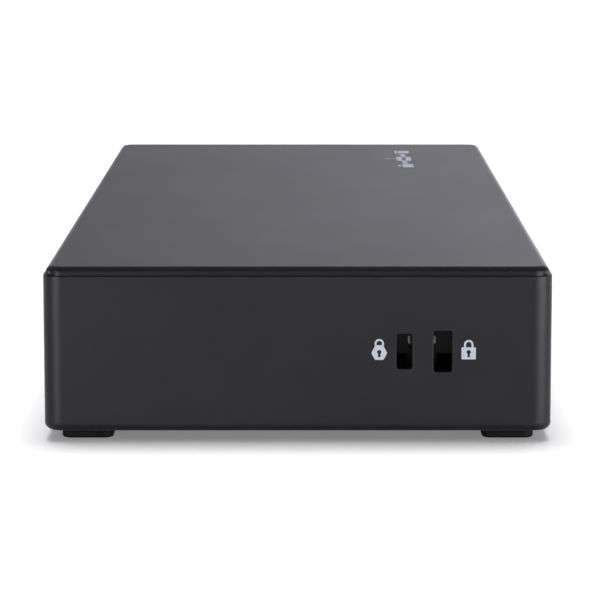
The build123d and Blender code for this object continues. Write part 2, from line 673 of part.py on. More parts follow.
def board_screws():
    screw = pan_screw(BOARD_SCREW_HEAD, BOARD_SCREW_DIAMETER, BOARD_SCREW_LENGTH)
    places = [Pos(x, y, MAIN_BOARD_TOP) for x, y in MAIN_BOARD_HOLES]
    places += [Pos(x, y, FRONT_BOARD_TOP) for x, y in FRONT_BOARD_HOLES]
    return group([place * screw for place in places])


def flat_cable():
    """A flat cable that arches over the gap between the boards, down into both sockets."""
    rear_z = MAIN_BOARD_TOP + CABLE_SOCKET_HEIGHT
    front_z = FRONT_BOARD_TOP + CABLE_SOCKET_HEIGHT
    crest = front_z + CABLE_ARCH
    path = FilletPolyline(
        (0, CABLE_FRONT_Y, front_z),
        (0, CABLE_FRONT_Y, crest),
        (0, CABLE_REAR_Y, crest),
        (0, CABLE_REAR_Y, rear_z),
        radius=CABLE_BEND_RADIUS,
    )
    section = Rectangle(CABLE_X[1] - CABLE_X[0] - 2 * CABLE_MARGIN, CABLE_THICKNESS)
    strip = sweep(Plane(origin=path @ 0, z_dir=path % 0, x_dir=(1, 0, 0)) * section, path=path)
    return Pos((CABLE_X[0] + CABLE_X[1]) / 2, 0, 0) * strip


def cable_socket(y, board_top):
    half_depth = CABLE_SOCKET_DEPTH / 2
    return block(CABLE_X, (y - half_depth, y + half_depth), (board_top, board_top + CABLE_SOCKET_HEIGHT))


# ---------------------------------------------------------------- parts on the boards
def on_main_board(piece):
    """A flat chip or box that stands on the main board."""
    x_range, y_range, height = piece
    return block(x_range, y_range, (MAIN_BOARD_TOP, MAIN_BOARD_TOP + height))


def thermal_pads():
    pads = []
    for x_range, y_range, height in (DISPLAY_CHIP, HUB_CHIP):
        pads.append(block(x_range, y_range, (MAIN_BOARD_TOP + height, SINK_BASE_BOTTOM)))
    return group(pads)


def heat_sink():
    """An aluminium base with upright fins, and a hole for each spring pin."""
    sink = block(SINK_X, SINK_Y, (SINK_BASE_BOTTOM, SINK_BASE_TOP))
    span = SINK_Y[1] - SINK_Y[0] - FIN_THICKNESS
    for number in range(SINK_FINS):
        y = SINK_Y[0] + number * span / (SINK_FINS - 1)
        sink += block(SINK_X, (y, y + FIN_THICKNESS), (SINK_BASE_TOP, SINK_TOP))
    half_bay = SINK_PIN_BAY / 2
    for x, y in SINK_PINS:
        sink -= block((x - half_bay, x + half_bay), (y - half_bay, y + half_bay), (SINK_BASE_TOP, SINK_TOP))
        sink -= post(x, y, (SINK_BASE_BOTTOM, SINK_BASE_TOP), SINK_PIN_HOLE)
    return sink


def heat_sink_pins():
    """Two moulded pins that clip the sink to the board."""
    head_diameter, head_height = SINK_PIN_HEAD
    head_z = (SINK_BASE_TOP, SINK_BASE_TOP + head_height)
    pins = []
    for x, y in SINK_PINS:
        pin = post(x, y, (MAIN_BOARD_TOP, SINK_BASE_TOP), SINK_PIN_DIAMETER)
        pins.append(pin + post(x, y, head_z, head_diameter))
    return group(pins)


def shield_can():
    x_range, y_range, _ = SHIELD_CAN
    t = SHIELD_CAN_THICKNESS
    can = on_main_board(SHIELD_CAN)
    top = MAIN_BOARD_TOP + SHIELD_CAN[2] - t
    hollow = block((x_range[0] + t, x_range[1] - t), (y_range[0] + t, y_range[1] - t), (MAIN_BOARD_TOP, top))
    return can - hollow


def inductors():
    width, height = INDUCTOR_SIZE
    y_range = (INDUCTOR_Y - width / 2, INDUCTOR_Y + width / 2)
    coils = [on_main_board(((x - width / 2, x + width / 2), y_range, height)) for x in INDUCTOR_X]
    return group([chamfer(coil.edges().filter_by(Axis.Z), INDUCTOR_CHAMFER) for coil in coils])


def capacitors():
    diameter, height = CAPACITOR_SIZE
    z_range = (MAIN_BOARD_TOP, MAIN_BOARD_TOP + height)
    cans = [post(x, y, z_range, diameter) for x, y in CAPACITOR_PLACES]
    return group([fillet(can.edges().sort_by(Axis.Z)[-1], CAPACITOR_EDGE_RADIUS) for can in cans])


# ---------------------------------------------------------------- power button and status light
def power_button():
    """A round cap with a retaining flange and a stem that pushes the switch plunger."""
    flange_front = -SIDE_INNER_Y + BUTTON_FLANGE_GAP
    flange_back = flange_front + BUTTON_FLANGE_THICKNESS
    cap = rod_along_y(BUTTON_X, FRONT_PORT_Z, (BUTTON_FACE_Y, flange_front), BUTTON_DIAMETER)
    cap = fillet(cap.edges().sort_by(Axis.Y)[0], BUTTON_EDGE_RADIUS)
    cap += rod_along_y(BUTTON_X, FRONT_PORT_Z, (flange_front, flange_back), BUTTON_FLANGE_DIAMETER)
    stem = (flange_back, SWITCH_Y[0] - PLUNGER_PROUD)
    return cap + rod_along_y(BUTTON_X, FRONT_PORT_Z, stem, BUTTON_STEM_DIAMETER)


def switch_plunger():
    reach = (SWITCH_Y[0] - PLUNGER_PROUD, SWITCH_Y[0] + PLUNGER_DEPTH)
    return rod_along_y(BUTTON_X, FRONT_PORT_Z, reach, PLUNGER_DIAMETER)


def switch_body():
    """The push switch: a block on the front board with a round pocket for its plunger."""
    z_range = (FRONT_BOARD_TOP, FRONT_BOARD_TOP + SWITCH_HEIGHT)
    half_width = SWITCH_WIDTH / 2
    body = block((BUTTON_X - half_width, BUTTON_X + half_width), SWITCH_Y, z_range)
    pocket = (SWITCH_Y[0], SWITCH_Y[0] + PLUNGER_DEPTH + DOME_HEIGHT)
    return body - rod_along_y(BUTTON_X, FRONT_PORT_Z, pocket, PLUNGER_DIAMETER + 2 * PLUNGER_CLEARANCE)


def switch_dome():
    """The snap dome: a thin cone between the plunger and the pocket's floor."""
    rim, tip = DOME_RADII
    hollow = Cone(rim - DOME_THICKNESS, tip - DOME_THICKNESS, DOME_HEIGHT)
    dome = Cone(rim, tip, DOME_HEIGHT) - Pos(0, 0, -DOME_RISE) * hollow
    y = SWITCH_Y[0] + PLUNGER_DEPTH + DOME_HEIGHT / 2
    return Pos(BUTTON_X, y, FRONT_PORT_Z) * Rot(90, 0, 0) * dome


def status_led():
    width, depth, height = STATUS_LED_SIZE
    return Pos(LIGHT_X, LIGHT_ELBOW_Y, FRONT_BOARD_TOP + height / 2) * Box(width, depth, height)


def light_pipe():
    """A clear rod that turns down to the light on the board."""
    radius = LIGHT_DIAMETER / 2
    rod = rod_along_y(LIGHT_X, FRONT_PORT_Z, (BUTTON_FACE_Y, LIGHT_ELBOW_Y), LIGHT_DIAMETER)
    leg_z = (FRONT_BOARD_TOP + STATUS_LED_SIZE[2] + LIGHT_GAP, FRONT_PORT_Z + radius)
    leg_y = (LIGHT_ELBOW_Y - radius, LIGHT_ELBOW_Y + radius)
    leg = block((LIGHT_X - radius, LIGHT_X + radius), leg_y, leg_z)
    across = leg.edges().filter_by(Axis.X)
    upper_back = across.sort_by(lambda edge: edge.center().Y + edge.center().Z)[-1]
    return rod + chamfer(upper_back, LIGHT_ELBOW_CHAMFER)


# ---------------------------------------------------------------- the whole assembly
def build_nodes():
    """Every separate piece, by node name."""
    nodes = {
        "lower_housing": lower_housing(),
        "top_cover": top_cover(),
        "housing_screws": housing_screws(),
        "mount_inserts": mount_inserts(),
        "base_label": base_label(),
        "lock_bracket": lock_bracket(),
        "lock_bracket_screw": lock_bracket_screw(),
        "main_board": drilled_board(MAIN_BOARD_X, MAIN_BOARD_Y, MAIN_BOARD_BOTTOM, MAIN_BOARD_HOLES),
        "front_board": drilled_board(FRONT_BOARD_X, FRONT_BOARD_Y, FRONT_BOARD_BOTTOM, FRONT_BOARD_HOLES),
        "board_screws": board_screws(),
        "flat_cable": flat_cable(),
        "cable_socket_main": cable_socket(CABLE_REAR_Y, MAIN_BOARD_TOP),
        "cable_socket_front": cable_socket(CABLE_FRONT_Y, FRONT_BOARD_TOP),
        "display_chip": on_main_board(DISPLAY_CHIP),
        "hub_chip": on_main_board(HUB_CHIP),
        "thermal_pads": thermal_pads(),
        "heat_sink": heat_sink(),
        "heat_sink_pins": heat_sink_pins(),
        "shield_can": shield_can(),
        "inductors": inductors(),
        "capacitors": capacitors(),
        "ethernet_transformer": on_main_board(ETHERNET_TRANSFORMER),
        "power_button": power_button(),
        "switch_plunger": switch_plunger(),
        "switch_body": switch_body(),
        "switch_dome": switch_dome(),
        "status_led": status_led(),
        "light_pipe": light_pipe(),
    }
    foot_names = ["foot_far_front", "foot_far_rear", "foot_lock_front", "foot_lock_rear"]
    for name, (x, y) in zip(foot_names, foot_positions()):
        nodes[name] = foot(x, y)
    for name, kind, place in port_places():
        for piece_name, piece in KINDS[kind][0]().items():
            solids = piece if isinstance(piece, list) else [piece]
            nodes[f"{name}_{piece_name}"] = group([place * solid for solid in solids])
    return nodes


if __name__ == "__main__":
    os.makedirs("parts", exist_ok=True)
    for node_name, shape in build_nodes().items():
        export_step(shape, f"parts/{node_name}.step")
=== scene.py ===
import json
import math
import bpy
import bmesh
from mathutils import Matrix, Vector


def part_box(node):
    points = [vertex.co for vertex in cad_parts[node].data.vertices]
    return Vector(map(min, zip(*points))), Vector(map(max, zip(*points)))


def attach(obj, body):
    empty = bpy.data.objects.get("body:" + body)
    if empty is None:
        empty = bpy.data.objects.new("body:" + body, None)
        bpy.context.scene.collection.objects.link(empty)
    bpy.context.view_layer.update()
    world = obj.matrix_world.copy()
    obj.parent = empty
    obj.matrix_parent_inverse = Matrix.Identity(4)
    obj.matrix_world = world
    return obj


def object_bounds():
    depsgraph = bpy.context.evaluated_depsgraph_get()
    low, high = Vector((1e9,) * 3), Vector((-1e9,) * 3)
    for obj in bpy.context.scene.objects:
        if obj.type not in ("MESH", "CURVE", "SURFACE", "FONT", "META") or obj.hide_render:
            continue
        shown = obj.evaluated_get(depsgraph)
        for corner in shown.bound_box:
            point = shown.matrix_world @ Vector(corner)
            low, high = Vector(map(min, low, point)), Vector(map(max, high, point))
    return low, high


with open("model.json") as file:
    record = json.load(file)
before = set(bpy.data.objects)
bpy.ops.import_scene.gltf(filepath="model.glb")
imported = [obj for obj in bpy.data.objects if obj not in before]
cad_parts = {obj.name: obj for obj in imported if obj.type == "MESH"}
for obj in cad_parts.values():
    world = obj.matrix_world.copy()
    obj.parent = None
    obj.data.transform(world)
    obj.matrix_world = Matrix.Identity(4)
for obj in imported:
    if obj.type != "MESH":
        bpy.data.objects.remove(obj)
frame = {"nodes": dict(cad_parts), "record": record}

CAD_BOX = [list(corner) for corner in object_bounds()]
LOW, HIGH = (Vector(corner) for corner in CAD_BOX)
MM = 0.001
DOCK = "dock"
BUTTON = "button"
scene = bpy.context.scene
scene.view_settings.view_transform = "Standard"


# ---------------------------------------------------------------- node helpers
UNIT = (0.0, 1.0)
# The middle of a noise's range, where most of its values are.
NOISE_MIDDLE = (0.3, 0.7)
BEVEL_SAMPLES = 6
# The cosine between the true and the rounded normal, on a flat and on a full edge.
EDGE_COSINES = (1.0, 0.86)
# A Mix node's colour sockets, which share their names with its other sockets.
MIX_FIRST, MIX_SECOND, MIX_RESULT = 6, 7, 2


def rgba(value):
    """A colour with its alpha. Anything else is handed back as it is."""
    return (*value, 1.0) if isinstance(value, tuple) else value


def scaled(colour, factor, lift=0.0):
    """A colour made darker or brighter, then lifted."""
    return tuple(channel * factor + lift for channel in colour)


def brightened(colour, factor, lift=0.0):
    """A colour made brighter, with no channel past 1."""
    return tuple(min(1.0, channel) for channel in scaled(colour, factor, lift))


class NodeTree:
    """A node tree, with one call for each node and its links."""

    def __init__(self, tree):
        self.tree = tree

    def connect(self, socket, value):
        """Links an input to another node's output, or sets its value."""
        if isinstance(value, bpy.types.NodeSocket):
            self.tree.links.new(value, socket)
        else:
            socket.default_value = value

    def node(self, kind, inputs=None, **settings):
        """A new node with these settings, and with its inputs linked or set."""
        node = self.tree.nodes.new(kind)
        for key, value in settings.items():
            setattr(node, key, value)
        for key, value in (inputs or {}).items():
            self.connect(node.inputs[key], value)
        return node

    def math(self, operation, first, second=0.0):
        inputs = {0: first, 1: second}
        return self.node("ShaderNodeMath", inputs, operation=operation).outputs[0]

    def add(self, first, second):
        return self.math("ADD", first, second)

    def subtract(self, first, second):
        return self.math("SUBTRACT", first, second)

    def multiply(self, first, second):
        return self.math("MULTIPLY", first, second)


class Shader(NodeTree):
    """A material's node tree, with the patterns that several materials use."""

    def __init__(self, name):
        self.material = bpy.data.materials.new(name)
        self.material.use_nodes = True
        super().__init__(self.material.node_tree)
        self.bsdf = self.tree.nodes["Principled BSDF"]
        self.place = self.node("ShaderNodeTexCoord").outputs["Object"]

    def stretched(self, scale, rotation=(0.0, 0.0, 0.0)):
        """Object coordinates, turned, and scaled by axis."""
        inputs = {"Vector": self.place, "Rotation": rotation, "Scale": scale}
        return self.node("ShaderNodeMapping", inputs).outputs["Vector"]

    def noise(self, size, detail=2.0, place=None):
        """Noise whose features are about this size, in metres."""
        vector = self.place if place is None else place
        inputs = {"Vector": vector, "Scale": 1 / size, "Detail": detail}
        return self.node("ShaderNodeTexNoise", inputs).outputs["Fac"]

    def cells(self, size, feature="F1", place=None, randomness=1.0):
        """Distances in a field of cells of about this size, in metres."""
        vector = self.place if place is None else place
        inputs = {"Vector": vector, "Scale": 1 / size, "Randomness": randomness}
        return self.node("ShaderNodeTexVoronoi", inputs, feature=feature).outputs["Distance"]

    def waves(self, scale, axis, distortion=0.0):
        """Bands that follow each other along an axis."""
        inputs = {"Vector": self.place, "Scale": scale, "Distortion": distortion}
        return self.node("ShaderNodeTexWave", inputs, bands_direction=axis).outputs["Fac"]

    def span(self, value, source, target=UNIT):
        """A value mapped from one range to another, and held inside it."""
        inputs = {"Value": value}
        inputs["From Min"], inputs["From Max"] = source
        inputs["To Min"], inputs["To Max"] = target
        return self.node("ShaderNodeMapRange", inputs).outputs["Result"]

    def blend(self, amount, first, second):
        """The first colour at amount 0, and the second at 1."""
        inputs = {"Factor": amount, MIX_FIRST: rgba(first), MIX_SECOND: rgba(second)}
        return self.node("ShaderNodeMix", inputs, data_type="RGBA").outputs[MIX_RESULT]

    def mottle(self, noise, first, second):
        """Two colours in soft patches, laid out by a noise."""
        return self.blend(self.span(noise, NOISE_MIDDLE), first, second)

    def edges(self, radius):
        """1 on edges and 0 on flats, with the rounded normal beside it."""
        rounded = self.node("ShaderNodeBevel", {"Radius": radius}, samples=BEVEL_SAMPLES).outputs["Normal"]
        flat = self.node("ShaderNodeNewGeometry").outputs["Normal"]
        cosine = self.node("ShaderNodeVectorMath", {0: rounded, 1: flat}, operation="DOT_PRODUCT")
        return self.span(cosine.outputs["Value"], EDGE_COSINES), rounded

    def bump(self, height, distance, strength, normal=None):
        """A normal tilted by a height map, over the surface's own normal or a given one."""
        inputs = {"Height": height, "Distance": distance, "Strength": strength}
        if normal is not None:
            inputs["Normal"] = normal
        return self.node("ShaderNodeBump", inputs).outputs["Normal"]

    def finish(self, colour, roughness, normal, **constants):
        """The finished material. Each constant is set on the shader's socket of that name."""
        for key, value in (("Base Color", colour), ("Roughness", roughness), ("Normal", normal)):
            self.connect(self.bsdf.inputs[key], value)
        for key, value in constants.items():
            self.bsdf.inputs[key.replace("_", " ")].default_value = value
        return self.material


# ---------------------------------------------------------------- materials
CHARCOAL = (0.0090, 0.0086, 0.0128)
WORN_CHARCOAL = (0.055, 0.054, 0.058)
BARE_STEEL = (0.36, 0.36, 0.37)
# Bright colour painted on the lock bracket screw's head as painted glints, standing in for the side
# lights' glints on its rim.
PAINTED_GLINT_COLOUR = (0.95, 0.94, 0.88)
BLACKENED_STEEL = (0.010, 0.010, 0.010)
SOLDER_MASK = (0.008, 0.055, 0.028)
MASKED_TRACK = (0.02, 0.13, 0.06)
TINNED_PAD = (0.62, 0.56, 0.42)
WHITE_FILM = (0.72, 0.70, 0.64)
FILMED_COPPER = (0.50, 0.44, 0.34)
DARK_LABEL, LIGHT_LABEL = (0.23, 0.23, 0.24), (0.30, 0.30, 0.31)
DULL_PAPER, BRIGHT_PAPER = (0.90, 0.90, 0.90), (0.92, 0.92, 0.92)
PAPER_ROUGHNESS = 0.9
PAPER_GLOW = 0.20
CABLE_WAVE_SCALE = 160.0
THREAD_PITCH = 0.5 * MM
ACRYLIC_IOR = 1.49
# A moulded part's specular level is low, so that it stays dark under the bright surround.
MOULDED_SPECULAR = 0.20
STEEL_SPECULAR = 0.25
RUBBER_SPECULAR = 0.10
# Where the painted glints on the screw's head start and end: in from its side, and up or down from its
# middle.
GLINT_DEPTHS = (0.45 * MM, 0.28 * MM)
GLINT_HEIGHTS = (0.55 * MM, 0.80 * MM)


def moulded_plastic(name, roughness, grain):
    """Charcoal casing plastic: eroded grain, faint flow marks, handling smears and worn edges."""
    s = Shader(name)
    edge, rounded = s.edges(0.25 * MM)
    pebbles = s.cells(grain, feature="SMOOTH_F1")
    pits = s.noise(grain * 0.45, detail=3.0)
    flow = s.noise(9 * MM, detail=3.0, place=s.stretched((0.25, 1.0, 1.0)))
    smears = s.noise(26 * MM, detail=4.0)
    patches = s.span(s.noise(1.6 * MM, detail=3.0), (0.42, 0.66))
    specks = s.span(s.noise(0.5 * MM, detail=1.0), (0.62, 0.8), (0.0, 0.35))
    # Here the mask is wear only: edges worn lighter in patches.
    wear_and_glint = s.multiply(edge, patches)
    shade = s.mottle(flow, scaled(CHARCOAL, 0.86), CHARCOAL)
    shade = s.blend(specks, shade, scaled(CHARCOAL, 1.7))
    shade = s.blend(s.multiply(wear_and_glint, 0.55), shade, WORN_CHARCOAL)
    rough = s.span(s.add(smears, s.multiply(flow, 0.4)), (0.45, 0.95), roughness)
    rough = s.subtract(rough, s.multiply(wear_and_glint, 0.12))
    height = s.add(s.multiply(pebbles, 0.7), pits)
    normal = s.bump(height, 0.010 * MM, 0.9, rounded)
    return s.finish(shade, rough, normal, Specular_IOR_Level=MOULDED_SPECULAR)


def smooth_plastic(name, colour, roughness, grain=0.18 * MM):
    """Plain moulded plastic: sockets, inserts and chips, with a fine skin and dusty edges."""
    s = Shader(name)
    edge, rounded = s.edges(0.08 * MM)
    skin = s.noise(grain, detail=3.0)
    cloud = s.noise(2.5 * MM, detail=3.0)
    shade = s.mottle(cloud, scaled(colour, 0.8), colour)
    shade = s.blend(s.multiply(edge, 0.35), shade, brightened(colour, 2.2, 0.03))
    rough = s.span(cloud, NOISE_MIDDLE, (roughness - 0.07, roughness + 0.09))
    normal = s.bump(skin, 0.004 * MM, 0.8, rounded)
    return s.finish(shade, rough, normal, Specular_IOR_Level=0.45)


def plated_metal(name, colour, roughness, rolling=(1.0, 1.0, 0.04)):
    """Plated sheet metal: rolling marks along an axis, dull blotches, scratches and bright edges."""
    s = Shader(name)
    edge, rounded = s.edges(0.06 * MM)
    lines = s.noise(0.05 * MM, place=s.stretched(rolling))
    blotch = s.noise(1.8 * MM, detail=4.0)
    scratch_place = s.stretched((1.0, 0.05, 1.0), rotation=(0.4, 0.7, 0.5))
    scratch = s.span(s.noise(0.22 * MM, detail=1.0, place=scratch_place), (0.66, 0.72))
    shade = s.blend(s.span(blotch, (0.35, 0.7)), scaled(colour, 0.75), colour)
    shade = s.blend(s.multiply(edge, 0.5), shade, brightened(colour, 1.25))
    rough = s.span(blotch, (0.3, 0.75), (roughness + 0.12, roughness))
    rough = s.add(rough, s.multiply(scratch, 0.18))
    height = s.subtract(lines, s.multiply(scratch, 0.6))
    return s.finish(shade, rough, s.bump(height, 0.003 * MM, 0.7, rounded), Metallic=1.0)


def painted_steel(name, colour):
    """Black stoved paint on steel: a faint orange peel, dust, and bare metal along the cut edges."""
    s = Shader(name)
    edge, rounded = s.edges(0.08 * MM)
    peel = s.noise(0.6 * MM, detail=1.0)
    dust = s.noise(0.25 * MM, detail=4.0)
    bare = s.multiply(edge, s.span(s.noise(0.5 * MM, detail=3.0), (0.5, 0.6), (0.0, 0.8)))
    shade = s.blend(s.span(dust, (0.55, 0.8), (0.0, 0.5)), colour, scaled(colour, 2.5))
    shade = s.blend(bare, shade, BARE_STEEL)
    rough = s.span(dust, NOISE_MIDDLE, (0.42, 0.55))
    normal = s.bump(s.add(peel, s.multiply(dust, 0.2)), 0.012 * MM, 0.6, rounded)
    return s.finish(shade, rough, normal, Specular_IOR_Level=STEEL_SPECULAR)


def screw_with_painted_glints(name, head, radius):
    """Blackened steel, with glints painted as bright colour on the two sides of its head that face the
    lock slots.
    """
    s = Shader(name)
    offset = s.node("ShaderNodeVectorMath", {0: s.place, 1: head}, operation="SUBTRACT")
    split = s.node("ShaderNodeSeparateXYZ", {"Vector": offset.outputs["Vector"]})
    across = s.math("ABSOLUTE", split.outputs["Y"])
    height = s.math("ABSOLUTE", split.outputs["Z"])
    # The painted glints: bright colour at the head's two sides, about its middle height, broken up by
    # noise, in place of the side lights' glints.
    side = s.span(across, tuple(radius - depth for depth in GLINT_DEPTHS))
    middle = s.span(height, GLINT_HEIGHTS, (1.0, 0.0))
    glint_breakup = s.span(s.noise(0.18 * MM, detail=3.0), (0.30, 0.50), (0.6, 1.0))
    wear_and_glint = s.multiply(s.multiply(side, middle), glint_breakup)
    shade = s.blend(wear_and_glint, BLACKENED_STEEL, PAINTED_GLINT_COLOUR)
    rough = s.span(wear_and_glint, UNIT, (0.36, 0.50))
    normal = s.bump(s.noise(0.12 * MM, detail=3.0), 0.006 * MM, 0.6)
    return s.finish(shade, rough, normal, Specular_IOR_Level=STEEL_SPECULAR)


def rubber(name, colour):
    """Matt rubber with a crumbly skin, and dust that gathers in patches and on the edges."""
    s = Shader(name)
    edge, rounded = s.edges(0.3 * MM)
    crumb = s.noise(0.22 * MM, detail=4.0)
    dust = s.span(s.noise(1.1 * MM, detail=4.0), (0.5, 0.75))
    dusty = s.multiply(dust, s.add(s.multiply(edge, 0.25), 0.06))
    shade = s.blend(dusty, colour, scaled(colour, 4, 0.02))
    rough = s.span(dust, UNIT, (0.62, 0.85))
    normal = s.bump(crumb, 0.012 * MM, 0.8, rounded)
    return s.finish(shade, rough, normal, Specular_IOR_Level=RUBBER_SPECULAR)


def circuit_board(name):
    """Green solder mask over copper tracks, with tinned pads."""
    s = Shader(name)
    copper = s.cells(2.6 * MM, feature="DISTANCE_TO_EDGE", place=s.stretched((1.0, 0.35, 1.0)))
    track = s.span(copper, (0.03, 0.06), (1.0, 0.0))
    pad = s.span(s.cells(2.0 * MM, randomness=0.25), (0.11, 0.14), (1.0, 0.0))
    weave = s.noise(0.3 * MM)
    shade = s.blend(pad, s.blend(track, SOLDER_MASK, MASKED_TRACK), TINNED_PAD)
    rough = s.span(pad, UNIT, (0.34, 0.22))
    height = s.add(track, s.multiply(weave, 0.35))
    return s.finish(shade, rough, s.bump(height, 0.02 * MM, 0.8), Specular_IOR_Level=0.5)


def cable_film(name):
    """White film over a row of flat conductors that run along the cable."""
    s = Shader(name)
    wave = s.waves(CABLE_WAVE_SCALE, "X")
    shade = s.blend(s.span(wave, (0.4, 0.6)), WHITE_FILM, FILMED_COPPER)
    rough = s.span(s.noise(1.0 * MM), NOISE_MIDDLE, (0.25, 0.42))
    return s.finish(shade, rough, s.bump(wave, 0.03 * MM, 0.6), Specular_IOR_Level=0.5)


def threaded_metal(name, colour):
    """Turned brass with a thread's ridges along Z."""
    s = Shader(name)
    edge, rounded = s.edges(0.05 * MM)
    wave = s.waves(0.05 / THREAD_PITCH, "Z", distortion=0.2)
    cloud = s.noise(0.8 * MM, detail=3.0)
    shade = s.mottle(cloud, scaled(colour, 0.7), colour)
    shade = s.blend(s.multiply(edge, 0.4), shade, brightened(colour, 1.3))
    rough = s.span(cloud, NOISE_MIDDLE, (0.2, 0.36))
    return s.finish(shade, rough, s.bump(wave, 0.05 * MM, 0.7, rounded), Metallic=1.0)


def label_film(name):
    """Blank matt film with a fine brushed finish and slight ripples."""
    s = Shader(name)
    brushed = s.noise(0.06 * MM, place=s.stretched((1.0, 0.03, 1.0)))
    ripple = s.noise(7 * MM)
    shade = s.mottle(brushed, DARK_LABEL, LIGHT_LABEL)
    rough = s.span(ripple, NOISE_MIDDLE, (0.38, 0.5))
    height = s.add(s.multiply(ripple, 4.0), s.multiply(brushed, 0.25))
    return s.finish(shade, rough, s.bump(height, 0.02 * MM, 0.6), Metallic=0.4)


def clear_resin(name, colour, roughness, glow=0.0):
    """Clear moulded resin with slight cloudiness and a mould-marked skin."""
    s = Shader(name)
    cloud = s.noise(0.7 * MM, detail=3.0)
    shade = s.mottle(cloud, scaled(colour, 0.85), colour)
    rough = s.span(cloud, NOISE_MIDDLE, (roughness, roughness + 0.12))
    constants = {
        "Transmission_Weight": 0.85,
        "IOR": ACRYLIC_IOR,
        "Emission_Strength": glow,
        "Emission_Color": rgba(colour),
    }
    return s.finish(shade, rough, s.bump(cloud, 0.01 * MM, 0.5), **constants)


def printed_ink(name, colour):
    """Screen-printed ink: a slightly uneven film with pinholes."""
    s = Shader(name)
    film = s.noise(0.09 * MM, detail=3.0)
    shade = s.blend(s.span(film, (0.35, 0.6)), scaled(colour, 0.8), colour)
    rough = s.span(film, NOISE_MIDDLE, (0.42, 0.6))
    return s.finish(shade, rough, s.bump(film, 0.004 * MM, 0.6), Specular_IOR_Level=0.3)


def glowing_paper(name):
    """White paper on a faintly lit table."""
    s = Shader(name)
    fibre = s.noise(1.2 * MM, detail=4.0)
    shade = s.mottle(fibre, DULL_PAPER, BRIGHT_PAPER)
    constants = {
        "Specular_IOR_Level": 0.1,
        "Emission_Strength": PAPER_GLOW,
        "Emission_Color": (1.0, 1.0, 1.0, 1.0),
    }
    return s.finish(shade, PAPER_ROUGHNESS, s.bump(fibre, 0.02 * MM, 0.3), **constants)


ROLLED_ALONG_X = (0.03, 1.0, 1.0)
ROLLED_ALONG_Y = (1.0, 0.04, 1.0)
MATERIALS = {
    "housing_plastic": moulded_plastic("housing_plastic", (0.38, 0.48), 0.34 * MM),
    "cover_plastic": moulded_plastic("cover_plastic", (0.37, 0.39), 0.28 * MM),
    "button_plastic": smooth_plastic("button_plastic", (0.010, 0.010, 0.011), 0.24),
    "label_foil": label_film("label_foil"),
    "foot_rubber": rubber("foot_rubber", (0.003, 0.003, 0.003)),
    "bracket_steel": painted_steel("bracket_steel", (0.014, 0.014, 0.015)),
    "screw_steel": plated_metal("screw_steel", (0.62, 0.61, 0.59), 0.22),
    "insert_brass": threaded_metal("insert_brass", (0.72, 0.52, 0.22)),
    "circuit_board": circuit_board("circuit_board"),
    "cable_film": cable_film("cable_film"),
    "socket_plastic": smooth_plastic("socket_plastic", (0.55, 0.51, 0.42), 0.42),
    "chip_epoxy": smooth_plastic("chip_epoxy", (0.018, 0.018, 0.019), 0.5, grain=0.1 * MM),
    "sink_aluminium": plated_metal("sink_aluminium", (0.70, 0.71, 0.72), 0.32, ROLLED_ALONG_X),
    "pad_rubber": rubber("pad_rubber", (0.20, 0.27, 0.38)),
    "shell_metal": plated_metal("shell_metal", (0.66, 0.65, 0.62), 0.24, ROLLED_ALONG_Y),
    "insert_plastic": smooth_plastic("insert_plastic", (0.010, 0.010, 0.011), 0.40),
    "contact_gold": plated_metal("contact_gold", (0.86, 0.62, 0.26), 0.2, ROLLED_ALONG_Y),
    "light_resin": clear_resin("light_resin", (0.85, 0.80, 0.45), 0.12),
    "light_pipe_clear": clear_resin("light_pipe_clear", (0.80, 0.88, 0.95), 0.10, glow=0.25),
}
INK = printed_ink("printed_ink", (0.76, 0.84, 0.95))
TOP_INK = printed_ink("top_ink", (0.42, 0.45, 0.52))


def dress_cad_nodes():
    """Gives each CAD node the material of its slot, and the lock bracket's screw its own, with painted
    glints on its head.
    """
    for part in frame["record"]["subparts"]:
        node = frame["nodes"][part["node"]]
        node.data.materials.clear()
        node.data.materials.append(MATERIALS[part["material_slot"]])
    low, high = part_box("lock_bracket_screw")
    screw = frame["nodes"]["lock_bracket_screw"]
    screw.data.materials[0] = screw_with_painted_glints("blackened_screw_painted_glints", (low + high) / 2, (high.y - low.y) / 2)


def mount(name):
    """A mount's place, from the record."""
    return Vector(next(m["pos_m"] for m in frame["record"]["mounts"] if m["name"] == name))


# ---------------------------------------------------------------- printed marks
# A mark is a flat outline in its own plane: u runs to the right and v runs up, in millimetres.
PRINT_THICKNESS = 0.03 * MM
PORT_SIGN_SCALE = 0.8
FRAME_LINE = 0.28
# How far each padlock sign is from its slot, to the right and up.
SMALL_LOCK_SIGN = (-4.2 * MM, 0.35 * MM)
STANDARD_LOCK_SIGN = (4.3 * MM, 0.25 * MM)
COVER_SIGN_X, COVER_SIGN_Y = -71.8 * MM, 23.4 * MM
NETWORK_SIGN_HEIGHT = 25.6 * MM
PORT_SIGN_HEIGHT = 21.5 * MM
AUDIO_SIGN_HEIGHT = 20.0 * MM
RIGHT_ON_END = (0, 1, 0)
RIGHT_ON_FRONT = (1, 0, 0)
RIGHT_ON_REAR = (-1, 0, 0)
UP = (0, 0, 1)


def arc(centre, radius, start, end, steps=16):
    """Points on an arc, from one angle to another, in degrees."""
    angles = [math.radians(start + (end - start) * n / steps) for n in range(steps + 1)]
    return [(centre[0] + radius * math.cos(a), centre[1] + radius * math.sin(a)) for a in angles]


def ring(centre, radius):
    """A circle."""
    return arc(centre, radius, 0, 360, 32)[:-1]


def bar(low, high):
    """A rectangle, from its lowest and highest corner."""
    return [low, (high[0], low[1]), high, (low[0], high[1])]


def rounded_box(low, high, radius):
    """A rectangle with round corners, from its lowest and highest corner."""
    left, right = low[0] + radius, high[0] - radius
    bottom, top = low[1] + radius, high[1] - radius
    points = []
    for turn, centre in enumerate([(right, top), (left, top), (left, bottom), (right, bottom)]):
        points += arc(centre, radius, turn * 90, turn * 90 + 90, 6)
    return points


